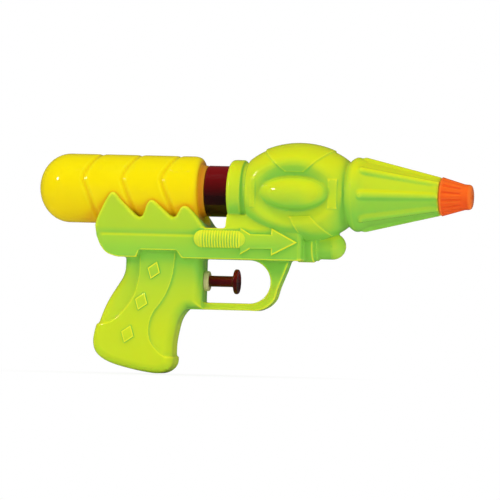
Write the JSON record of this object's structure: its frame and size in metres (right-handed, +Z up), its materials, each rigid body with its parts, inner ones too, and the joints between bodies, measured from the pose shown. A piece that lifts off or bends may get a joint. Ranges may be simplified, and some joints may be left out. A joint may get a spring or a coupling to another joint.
{
  "type": "water squirter",
  "caption": "Ray-gun shaped toy water squirter with a moulded pistol body, pull-off water tank, push-plunger trigger, spring-return pump and tapered nozzle.",
  "frame": {"origin": "middle of the grip, on the parting plane of the two body halves", "axes": "+X along the barrel towards the muzzle, +Z up, +Y to the left of the person who holds it"},
  "size_m": [0.2278, 0.047, 0.1211],
  "materials": {
    "body_green": "glossy moulded lime green",
    "tank_yellow": "glossy blow-moulded yellow",
    "socket_red": "glossy dark red, slightly see-through",
    "trigger_red": "glossy dark red",
    "tip_orange": "satin orange",
    "bush_olive": "satin pale olive",
    "white_plastic": "satin white",
    "hose_clear": "soft, milky",
    "black_rubber": "matt black",
    "steel": "plain bright"
  },
  "bodies": {
    "gun_body": {"right_body": "body_green", "left_body": "body_green", "body_screws": "steel", "nozzle_tip": "tip_orange", "jet_insert": "white_plastic", "tank_socket": "socket_red", "dip_tube": "white_plastic", "vent_flap": "black_rubber", "inlet_hose": "hose_clear", "outlet_hose": "hose_clear", "return_spring": "steel", "guide_bush": "bush_olive", "pump_body": "white_plastic", "inlet_cap": "white_plastic", "inlet_spring": "steel", "outlet_cap": "white_plastic", "outlet_spring": "steel"},
    "trigger": {"trigger_plunger": "trigger_red", "piston": "white_plastic", "piston_seal": "black_rubber"},
    "tank_seal": {"seal_ring": "black_rubber"},
    "tank": {"water_tank": "tank_yellow"},
    "inlet_valve": {"inlet_ball": "steel"},
    "outlet_valve": {"outlet_ball": "steel"}
  },
  "joints": [
    {"name": "trigger_slide", "type": "slide", "parent": "gun_body", "child": "trigger", "axis": [-1, 0, 0], "range_m": [0, 0.0105], "stiffness_N_per_m": 400, "springref_m": -0.005, "deforming": ["return_spring"]},
    {"name": "tank_turn", "type": "hinge", "parent": "gun_body", "child": "tank_seal", "pos_m": [0.03, 0, 0.065], "axis": [-1, 0, 0], "continuous": true},
    {"name": "tank_pull", "type": "slide", "parent": "tank_seal", "child": "tank", "axis": [-1, 0, 0], "range_m": [0, 0.09]},
    {"name": "inlet_valve_lift", "type": "slide", "parent": "gun_body", "child": "inlet_valve", "axis": [0, 0, -1], "range_m": [0, 0.001], "stiffness_N_per_m": 30, "springref_m": -0.0005, "deforming": ["inlet_spring"]},
    {"name": "outlet_valve_lift", "type": "slide", "parent": "gun_body", "child": "outlet_valve", "axis": [0, 0, 1], "range_m": [0, 0.001], "stiffness_N_per_m": 30, "springref_m": -0.0005, "deforming": ["outlet_spring"]}
  ]
}
